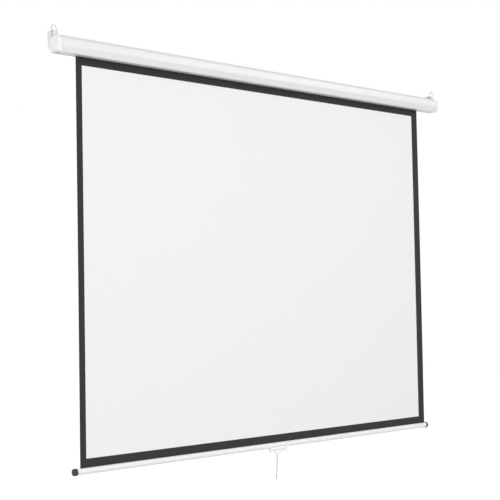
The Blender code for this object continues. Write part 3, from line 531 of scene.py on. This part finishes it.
def case_outline():
    """The case's outer section as (y, z), anticlockwise from its front lower edge."""
    front, back, bottom, top = CASE_FRONT_Y, CASE_BACK_Y, CASE_BOTTOM_Z, CASE_TOP_Z
    return [
        (front + FACET_SETBACK, bottom),
        (back - UNDERSIDE_CHAMFER, bottom + UNDERSIDE_RISE),
        (back, bottom + UNDERSIDE_RISE + UNDERSIDE_CHAMFER),
        (back, top - BACK_CHAMFER),
        (back - BACK_CHAMFER, top),
        (front + BAND_DEPTH, top),
        (front + BAND_SETBACK, bottom + BAND_HEIGHT),
        (front, bottom + FACET_HEIGHT),
    ]


def underside_z(y):
    """Height of the sheet's middle line under the case at a depth."""
    front, back = offset_outline(case_outline(), -CASE_SHEET / 2)[:2]
    return front[1] + (back[1] - front[1]) * (y - front[0]) / (back[0] - front[0])


def make_case():
    """The folded sheet with rounded folds, from slot lip to slot lip."""
    inner = CASE_SHEET / 2
    middle = offset_outline(case_outline(), -inner)
    front_lip, back_lip = SLOT_FRONT_Y - inner, SLOT_BACK_Y + inner
    path = [
        (front_lip, underside_z(front_lip) + SLOT_LIP),
        (front_lip, underside_z(front_lip)),
        middle[0],
        *reversed(middle[2:]),
        middle[1],
        (back_lip, underside_z(back_lip)),
        (back_lip, underside_z(back_lip) + SLOT_LIP),
    ]
    section = thickened(rounded(path, FOLD_RADIUS, closed=False), CASE_SHEET)
    return loft("case_shell", [along_x(section, -SEAM_X), along_x(section, SEAM_X)])


def cap_ring(inset, x):
    """The case's rounded outline drawn in by an inset, at a place along the case."""
    outline = offset_outline(case_outline(), -inset) if inset else case_outline()
    return along_x(rounded(outline, FOLD_RADIUS + CASE_SHEET / 2), x)


def drawn_outline(share):
    """The case's outline drawn in at a cap's end: most at its front lower edge, least at its back."""
    middle = (CASE_TOP_Z + CASE_BOTTOM_Z) / 2
    depth, height = CASE_BACK_Y - CASE_FRONT_Y, CASE_TOP_Z - CASE_BOTTOM_Z
    drawn = []
    for y, z in case_outline():
        forward = (CASE_BACK_Y - y) / depth
        most = DRAWN_BOTTOM if z < middle else DRAWN_TOP
        lift = most * (DRAWN_AT_BACK + (1 - DRAWN_AT_BACK) * forward) * (middle - z) / (height / 2)
        drawn.append((y + DRAWN_FRONT * forward * share, z + lift * share))
    return drawn


def make_cap(name, side):
    """The moulded cap: spigot, step at the seam, and an outer end that is drawn in all round."""
    spigot = CASE_SHEET + GAP
    hollow = spigot + CAP_WALL
    start = side * (SEAM_X - SPIGOT_LENGTH)
    seam = side * (SEAM_X + GAP)
    lead = CAP_SEAM_BEVEL
    rings = [
        cap_ring(hollow, side * (PLATE_OUTER_X + GAP)),
        cap_ring(hollow, start),
        cap_ring(spigot, start),
        cap_ring(spigot, seam),
        cap_ring(lead, seam),
        cap_ring(0, seam + side * lead),
    ]
    for i in range(DRAWN_STEPS + 1):
        angle = math.pi / 2 * i / DRAWN_STEPS
        x = CAP_END_X - DRAWN_LENGTH * (1 - math.sin(angle))
        outline = rounded(drawn_outline(1 - math.cos(angle)), FOLD_RADIUS + CASE_SHEET / 2)
        rings.append(along_x(outline, side * x))
    cap = loft(name, rings)
    ends = sorted((start - side * CUT_PAST, side * (SEAM_X + CAP_NOTCH)))
    low = (ends[0], SLOT_FRONT_Y - CAP_NOTCH_FORWARD, CASE_BOTTOM_Z - CAP_WALL)
    high = (ends[1], SLOT_BACK_Y + CASE_SHEET + GAP, underside_z(SLOT_BACK_Y) + SLOT_LIP + GAP)
    return cut(cap, [block(low, high)])


# Rings and screws


def arc(radius, centre, steps, start, sweep):
    """Points on an arc, from a start angle through a sweep."""
    spots = []
    for i in range(steps + 1):
        angle = start + sweep * i / steps
        spots.append((centre[0] + radius * math.cos(angle), centre[1] + radius * math.sin(angle)))
    return spots


def ring_points(side):
    """The ring's wire round its loop, leaning back at the left end."""
    half = RING_WIDTH / 2 - RING_WIRE / 2
    corner, top = RING_CORNER_RADIUS, RING_TOP_RADIUS
    crown = RING_HEIGHT - RING_WIRE - top
    centre = Vector((half - corner, corner))
    away = Vector((0, crown)) - centre
    lean = math.atan2(away.y, away.x) - math.pi / 2 + math.asin((corner - top) / away.length)
    right = arc(corner, centre, RING_CORNER_STEPS, -math.pi / 2, math.pi / 2 + lean)
    crown_arc = arc(top, (0, crown), RING_TOP_STEPS, lean, math.pi - 2 * lean)
    left = [(-u, v) for u, v in reversed(right)]
    back = LEFT_RING_LEAN if side < 0 else 0.0
    middle = side * BRACKET_MIDDLE_X
    across, up = math.sin(back), math.cos(back)
    return [(middle + u, RING_Y + v * across, RING_Z + v * up) for u, v in right + crown_arc + left]


def make_screw(name, head, direction, length):
    """A pan-head screw with a cross recess and a thread on its shank."""
    crown, edge, root = SCREW_HEAD_HEIGHT, SCREW_HEAD_RADIUS, SCREW_RADIUS - THREAD_DEPTH
    thread = []
    for i in range(int(length / THREAD_PITCH)):
        top = length - i * THREAD_PITCH
        thread += [(root, top), (SCREW_RADIUS, top - THREAD_PITCH / 2)]
    rim_share, dome_share, dome_angles = 0.45, 0.55, (0.35, 0.7, 1.0, 1.3)
    profile = [(0, length), *thread, (root, 0), (edge, 0), (edge, -crown * rim_share)]
    for angle in dome_angles:
        height = crown * (rim_share + dome_share * math.sin(angle))
        profile.append((edge * math.cos(angle), -height))
    screw = turned(name, [*profile, (0, -crown)], head, direction, SMALL_SIDES)
    turn = Vector((0, 0, 1)).rotation_difference(Vector(direction)).to_matrix().to_4x4()
    recess_top, recess_floor = -crown * 1.5, -crown * RECESS_FLOOR
    narrow, long = RECESS_HALF_WIDTH, RECESS_HALF_LENGTH
    tools = []
    for wide, tall in ((narrow, long), (long, narrow)):
        tool = block((-wide, -tall, recess_top), (wide, tall, recess_floor))
        tool.data.transform(Matrix.Translation(Vector(head)) @ turn)
        tools.append(tool)
    return cut(screw, tools)


# Fabric, bar, handle and cord


def spaced(marks, step):
    """Marks with extra values between them, no further apart than a step."""
    made = []
    for low, high in zip(marks, marks[1:]):
        count = max(1, math.ceil((high - low) / step))
        made += [low + (high - low) * i / count for i in range(count)]
    return [*made, marks[-1]]


def fabric_bottom():
    """Height of the cloth's lower edge, inside the bar."""
    return BAR_Z + BAR_RADIUS - BAR_WALL - 2 * GAP


def make_fabric():
    """The screen cloth, with its printed border as its own faces and a faint curl at its side edges."""
    view_left, view_right = FABRIC_LEFT_X + BORDER_LEFT, FABRIC_RIGHT_X - BORDER_RIGHT
    view_top = CASE_BOTTOM_Z - BORDER_TOP
    view_bottom = view_top - VIEW_HEIGHT
    across = spaced([FABRIC_LEFT_X, view_left, view_right, FABRIC_RIGHT_X], CLOTH_STEP)
    down = spaced([fabric_bottom(), view_bottom, view_top, CASE_BOTTOM_Z, ROLLER_Z], CLOTH_STEP)
    middle, half_width = (FABRIC_LEFT_X + FABRIC_RIGHT_X) / 2, (FABRIC_RIGHT_X - FABRIC_LEFT_X) / 2
    half = FABRIC_THICKNESS / 2

    def bow(x, z):
        """How far the cloth stands forward: a curl at its side edges and a faint ripple."""
        share = min(1, max(0, (CASE_BOTTOM_Z - z) / (CASE_BOTTOM_Z - fabric_bottom())))
        side = abs(x - middle) / half_width
        curl = SIDE_CURL * side**CURL_POWER
        ripple = RIPPLE * math.cos(RIPPLE_WAVES * x) * math.cos(RIPPLE_DRIFT * x + 1)
        return math.sin(math.pi * share) * (curl - ripple)

    work = bmesh.new()
    uv = work.loops.layers.uv.new("metres")
    white, border, backing = range(3)
    sheets = []
    for face_y in (-half, half):
        rows = []
        for z in down:
            rows.append([work.verts.new((x, FABRIC_Y + face_y - bow(x, z), z)) for x in across])
        sheets.append(rows)

    def face(corners, index):
        made = work.faces.new(corners)
        made.material_index = index
        for loop in made.loops:
            loop[uv].uv = (loop.vert.co.x, loop.vert.co.z)

    front, back = sheets
    for j in range(len(down) - 1):
        for i in range(len(across) - 1):
            x = (across[i] + across[i + 1]) / 2
            z = (down[j] + down[j + 1]) / 2
            inside = view_left < x < view_right and view_bottom < z < view_top
            corners = (front[j][i], front[j][i + 1], front[j + 1][i + 1], front[j + 1][i])
            face(corners, white if inside else border)
            face((back[j][i], back[j + 1][i], back[j + 1][i + 1], back[j][i + 1]), backing)
    last_row, last_column = len(down) - 1, len(across) - 1
    for j in range(last_row):
        face((front[j][0], front[j + 1][0], back[j + 1][0], back[j][0]), border)
        edge = [rows[k][last_column] for rows, k in ((front, j + 1), (front, j), (back, j), (back, j + 1))]
        face(edge, border)
    top_front, top_back = front[last_row], back[last_row]
    for i in range(last_column):
        face((front[0][i + 1], front[0][i], back[0][i], back[0][i + 1]), border)
        face((top_front[i], top_front[i + 1], top_back[i + 1], top_back[i]), border)
    return from_bmesh("screen_cloth", work)


def make_wound_cloth():
    """The turns that stay on the roller, as one spiral sheet with a little air between its turns."""
    half = (FABRIC_THICKNESS - WRAP_AIR) / 2
    inner = ROLLER_RADIUS + GAP + half
    steps = WRAP_STEPS * WRAP_TURNS
    turn = 2 * math.pi * WRAP_TURNS / steps
    work = bmesh.new()
    uv = work.loops.layers.uv.new("metres")
    rows = []
    length = 0.0
    for i in range(steps + 1):
        radius = inner + FABRIC_THICKNESS * (WRAP_TURNS - 1) * i / steps
        length += turn * radius if i else 0
        row = []
        ends = (FABRIC_LEFT_X, FABRIC_RIGHT_X)
        corners = [(half, x) for x in ends] + [(-half, x) for x in reversed(ends)]
        for reach, x in corners:
            y = ROLLER_Y + (radius + reach) * math.cos(turn * i)
            z = ROLLER_Z - (radius + reach) * math.sin(turn * i)
            row.append(work.verts.new((x, y, z)))
        rows.append((row, length))
    for (low, start), (high, end) in zip(rows, rows[1:]):
        for k in range(4):
            j = (k + 1) % 4
            made = work.faces.new((low[k], low[j], high[j], high[k]))
            for loop in made.loops:
                loop[uv].uv = (loop.vert.co.x, start if loop.vert in low else end)
    work.faces.new(rows[0][0])
    work.faces.new(rows[-1][0][::-1])
    return from_bmesh("wound_cloth", work), length


def bar_point(x, z=0.0):
    """A point on the bar's axis, or at a height over it."""
    return Vector((x, FABRIC_Y, BAR_Z + z))


def make_bar():
    """The rolled tube with its fabric slot along the top."""
    slot_angle = math.asin(BAR_SLOT / 2 / BAR_RADIUS)
    middle = BAR_RADIUS - BAR_WALL / 2
    start = math.pi / 2 + slot_angle
    line = arc(middle, (FABRIC_Y, BAR_Z), BAR_STEPS, start, 2 * math.pi - 2 * slot_angle)
    section = thickened([Vector(spot) for spot in line], BAR_WALL)
    bar = loft("bar_tube", [along_x(section, BAR_LEFT_X), along_x(section, BAR_RIGHT_X)])
    below, deep, wide = 0.002, 0.006, SCREW_RADIUS + GAP
    profile = [(0, 0), (wide, 0), (wide, deep), (0, deep)]
    holes = []
    for side in (-1, 1):
        low = bar_point(side * HANDLE_SCREW_X, -BAR_RADIUS - below)
        holes.append(turned("hole", profile, low, (0, 0, 1), SMALL_SIDES))
    return cut(bar, holes)


def make_bar_cap(name, side):
    """The black plug: a domed head with a moulded rim, and a spigot notched for the cloth."""
    plug = BAR_RADIUS - BAR_WALL - GAP
    head, long = BAR_CAP_RADIUS, BAR_CAP_LENGTH
    edge = head * BAR_CAP_DOME
    dome = arc(edge, (head - edge, GAP + long - edge), DOME_STEPS, math.pi / 2, -math.pi / 2)
    groove = head - GROOVE_DEPTH
    profile = [
        (0, GAP + long),
        *dome,
        (head, GAP + GROOVE_END),
        (groove, GAP + GROOVE_END - GROOVE_SLOPE),
        (groove, GAP + GROOVE_START + GROOVE_SLOPE),
        (head, GAP + GROOVE_START),
        (head, GAP + BAR_CAP_CHAMFER),
        (head - BAR_CAP_CHAMFER, GAP),
        (plug, GAP),
        (plug, -BAR_PLUG_LENGTH + PLUG_CHAMFER),
        (plug - PLUG_CHAMFER, -BAR_PLUG_LENGTH),
        (0, -BAR_PLUG_LENGTH),
    ]
    end = BAR_LEFT_X if side < 0 else BAR_RIGHT_X
    cap = turned(name, profile, bar_point(end), (side, 0, 0), ROUND_SIDES)
    half = FABRIC_THICKNESS / 2 + GAP
    near, far = sorted((end, end - side * (BAR_PLUG_LENGTH + CUT_PAST)))
    low = (near, FABRIC_Y - half, fabric_bottom() - GAP)
    return cut(cap, [block(low, (far, FABRIC_Y + half, BAR_Z + BAR_RADIUS))])


def smooth_route(spots):
    """Points on a Catmull-Rom curve through the spots."""
    ends = [2 * spots[0] - spots[1], *spots, 2 * spots[-1] - spots[-2]]
    route = []
    for a, b, c, d in zip(ends, ends[1:], ends[2:], ends[3:]):
        for i in range(CORD_STEPS):
            t = i / CORD_STEPS
            bend = (2 * a - 5 * b + 4 * c - d) * t * t + (3 * b - a - 3 * c + d) * t**3
            route.append((2 * b + (c - a) * t + bend) / 2)
    return [*route, spots[-1]]


def cord_route():
    """The cord's middle line: down out of its socket, then swaying to the left."""
    top = Vector(CORD_EXIT) + Vector((0, 0, CORD_SOCKET - GAP))
    sway = (0.0, 0.0, 0.12, 0.34, 0.66, 1.0)
    step = Vector((0, 0, -CORD_LENGTH / (len(sway) - 1)))
    return smooth_route([top + step * i - Vector((CORD_SWAY * s, 0, 0)) for i, s in enumerate(sway)])


def make_cord():
    """The braided cord, with a heat-sealed end."""
    route = cord_route()
    last = len(route) - 1
    core, ridge, sealed_rings = 0.97, 0.035, 6

    def swell(i, angle):
        turn = 2 * math.pi * (CORD_LENGTH * i / last) / CORD_LAY
        left = math.cos(CORD_STRANDS * (angle + turn))
        right = math.cos(CORD_STRANDS * (angle - turn))
        sealed = max(0, 1 - (last - i) / sealed_rings)
        braid = core + ridge * max(left, right)
        tip = 0.9 - 0.25 * sealed**2
        return braid * (1 - sealed) + tip * sealed

    return tube("braided_cord", route, CORD_DIAMETER / 2, CORD_SIDES, swell=swell), route


# Camera

camera_data = bpy.data.cameras.new("camera")
camera_data.sensor_width = SENSOR_WIDTH
camera_data.lens = FOCAL_PIXELS / IMAGE_SIZE * SENSOR_WIDTH
camera_data.clip_end = CAMERA_REACH
camera = bpy.data.objects.new("camera", camera_data)
bpy.context.scene.collection.objects.link(camera)
forward, up = Vector(CAMERA_FORWARD).normalized(), -Vector(CAMERA_DOWN).normalized()
right = forward.cross(up).normalized()
up = right.cross(forward)
turn = Matrix((right, up, -forward)).transposed().to_4x4()
camera.matrix_world = Matrix.Translation(CAMERA_PLACE) @ turn
bpy.context.scene.camera = camera

# Pieces that replace CAD nodes

cord, route = make_cord()
add_piece(cord, [CORD_CLOTH], "bottom_bar", "pull_cord")

add_piece(make_case(), [WHITE_PAINT], "case", "case")
for end, side in (("left", -1), ("right", 1)):
    cap = make_cap(f"{end}_cap_shell", side)
    add_piece(cap, [WHITE_PLASTIC], "case", f"{end}_end_cap")
    bracket = refined(f"{end}_bracket_moulding", f"{end}_bracket", BRACKET_BEVEL, segments=2)
    add_piece(bracket, [BRACKET_PLASTIC], "case", f"{end}_bracket")
    ring = tube(f"{end}_ring_wire", ring_points(side), RING_WIRE / 2, WIRE_SIDES, closed=True)
    add_piece(ring, [RING_STEEL], f"{end}_ring", f"{end}_hanging_ring")
    for spot, height in BRACKET_SCREW_HEIGHTS.items():
        head = (side * (PLATE_OUTER_X - PLATE_THICKNESS / 2), BRACKET_SCREW_Y, height)
        screw = make_screw(f"{end}_{spot}_pan_screw", head, (0, -1, 0), BRACKET_SCREW_LENGTH)
        add_piece(screw, [ZINC], "case", f"{end}_{spot}_bracket_screw")
    head = (side * HANDLE_SCREW_X, FABRIC_Y, HANDLE_SCREW_Z)
    screw = make_screw(f"{end}_grip_screw", head, (0, 0, 1), SCREW_LENGTH)
    add_piece(screw, [ZINC], "bottom_bar", f"{end}_handle_screw")
    cap = make_bar_cap(f"{end}_bar_plug", side)
    add_piece(cap, [BLACK_PLASTIC], "bottom_bar", f"{end}_bar_cap")

add_piece(make_bar(), [BAR_PAINT], "bottom_bar", "bottom_bar")
grip = refined("grip", "pull_handle", GRIP_BEVEL, segments=3)
add_piece(grip, [HANDLE_PLASTIC], "bottom_bar", "pull_handle")

cloth = make_fabric()
add_piece(cloth, [CLOTH_WHITE, CLOTH_BORDER, CLOTH_BACK], "case", "screen_fabric")
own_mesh(cloth)

wound, wound_length = make_wound_cloth()
add_piece(wound, [CLOTH_BACK], "roller", "fabric_wrap")

# CAD nodes that stay, with their own materials

CARRIED = {
    ZINC: [
        "left_bearing_plate",
        "right_bearing_plate",
        "ratchet_wheel",
        "spring_anchor",
        "roller_tube",
        "pawl_a",
        "pawl_b",
        "hem_rod",
    ],
    SHAFT_STEEL: ["spring_shaft", "idle_pin", "pawl_a_pin", "pawl_b_pin"],
    SPRING_STEEL: ["torsion_spring"],
    GREY_PLASTIC: ["pin_bush", "left_roller_plug", "right_roller_plug", "shaft_support"],
}
for look, names in CARRIED.items():
    for name in names:
        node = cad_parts[name]
        node.data.materials.clear()
        node.data.materials.append(look)

# Floor, world and lights

# Strength of the world's light from straight above, from the side and from straight below.
LIGHT_ABOVE, LIGHT_LEVEL, LIGHT_BELOW = 0.55, 0.65, 1.0
# The floor's paleness, the light it gives to all, and what is added where it is seen.
FLOOR_PALENESS, FLOOR_LIGHT, FLOOR_GLOW = 0.45, 0.2, 0.6


def seen_or_lit(tree, lit, seen, surface):
    """Gives a surface one shader where it is seen, also in metal or glass, and another for its light."""
    path = tree.nodes.new("ShaderNodeLightPath")
    total = path.outputs["Is Camera Ray"]
    for other in ("Is Glossy Ray", "Is Transmission Ray"):
        node = tree.nodes.new("ShaderNodeMath")
        node.operation = "MAXIMUM"
        tree.links.new(total, node.inputs[0])
        tree.links.new(path.outputs[other], node.inputs[1])
        total = node.outputs["Value"]
    mix = tree.nodes.new("ShaderNodeMixShader")
    tree.links.new(total, mix.inputs["Fac"])
    tree.links.new(lit, mix.inputs[1])
    tree.links.new(seen, mix.inputs[2])
    tree.links.new(mix.outputs["Shader"], surface)


world = bpy.data.worlds.new("studio")
bpy.context.scene.world = world
world.use_nodes = True
tree = world.node_tree
lit = tree.nodes["Background"]
direction = tree.nodes.new("ShaderNodeTexCoord")
parts = tree.nodes.new("ShaderNodeSeparateXYZ")
ramp = tree.nodes.new("ShaderNodeValToRGB")
height = tree.nodes.new("ShaderNodeMapRange")
height.inputs["From Min"].default_value = -1
tree.links.new(direction.outputs["Generated"], parts.inputs["Vector"])
tree.links.new(parts.outputs["Z"], height.inputs["Value"])
tree.links.new(height.outputs["Result"], ramp.inputs["Fac"])
tree.links.new(ramp.outputs["Color"], lit.inputs["Color"])
stops = ramp.color_ramp.elements
stops.new(0.5)
for i, light in enumerate((LIGHT_BELOW, LIGHT_LEVEL, LIGHT_ABOVE)):
    stops[i].position = i / 2
    stops[i].color = (light, light, light, 1)
white = tree.nodes.new("ShaderNodeBackground")
white.inputs["Color"].default_value = (1, 1, 1, 1)
surface = tree.nodes["World Output"].inputs["Surface"]
seen_or_lit(tree, lit.outputs["Background"], white.outputs["Background"], surface)

floor_mesh = bpy.data.meshes.new("floor")
edge = FLOOR_HALF
floor_mesh.from_pydata(
    [(-edge, -edge, FLOOR_Z), (edge, -edge, FLOOR_Z), (edge, edge, FLOOR_Z), (-edge, edge, FLOOR_Z)],
    [],
    [(0, 1, 2, 3)],
)
floor = bpy.data.objects.new("floor", floor_mesh)
bpy.context.scene.collection.objects.link(floor)
floor_look = bpy.data.materials.new("pale_floor")
floor_look.use_nodes = True
tree = floor_look.node_tree
tree.nodes.remove(tree.nodes["Principled BSDF"])
diffuse = tree.nodes.new("ShaderNodeBsdfDiffuse")
diffuse.inputs["Color"].default_value = (FLOOR_PALENESS, FLOOR_PALENESS, FLOOR_PALENESS, 1)
bounce = tree.nodes.new("ShaderNodeEmission")
bounce.inputs["Strength"].default_value = FLOOR_LIGHT
pale = tree.nodes.new("ShaderNodeAddShader")
glow = tree.nodes.new("ShaderNodeEmission")
glow.inputs["Strength"].default_value = FLOOR_GLOW
glowing = tree.nodes.new("ShaderNodeAddShader")
tree.links.new(diffuse.outputs["BSDF"], pale.inputs[0])
tree.links.new(bounce.outputs["Emission"], pale.inputs[1])
tree.links.new(pale.outputs["Shader"], glowing.inputs[0])
tree.links.new(glow.outputs["Emission"], glowing.inputs[1])
surface = tree.nodes["Material Output"].inputs["Surface"]
seen_or_lit(tree, pale.outputs["Shader"], glowing.outputs["Shader"], surface)
floor_mesh.materials.append(floor_look)

# Name, place, what it points at, size across and up, and radiance of each soft box.
SOFT_BOXES = [
    ("front", (-0.2, -4.2, -0.4), (0.0, 0.0, -0.7), (4.5, 2.4), 1.3),
    ("left", (-7.5, -2.2, 0.4), (-0.6, 0.0, -0.4), (4.0, 3.0), 5.9),
    ("gloss", (4.9, -6.1, 2.45), (0.2, 0.0, 0.0), (6.4, 1.4), 4.1),
]
for name, place, target, size, radiance in SOFT_BOXES:
    data = bpy.data.lights.new(name, "AREA")
    data.shape = "RECTANGLE"
    data.size, data.size_y = size
    data.energy = radiance * math.pi * size[0] * size[1]
    lamp = bpy.data.objects.new(name, data)
    lamp.location = place
    lamp.rotation_mode = "QUATERNION"
    lamp.rotation_quaternion = (Vector(target) - Vector(place)).to_track_quat("-Z", "Y")
    bpy.context.scene.collection.objects.link(lamp)

bpy.context.scene.view_settings.view_transform = "Standard"
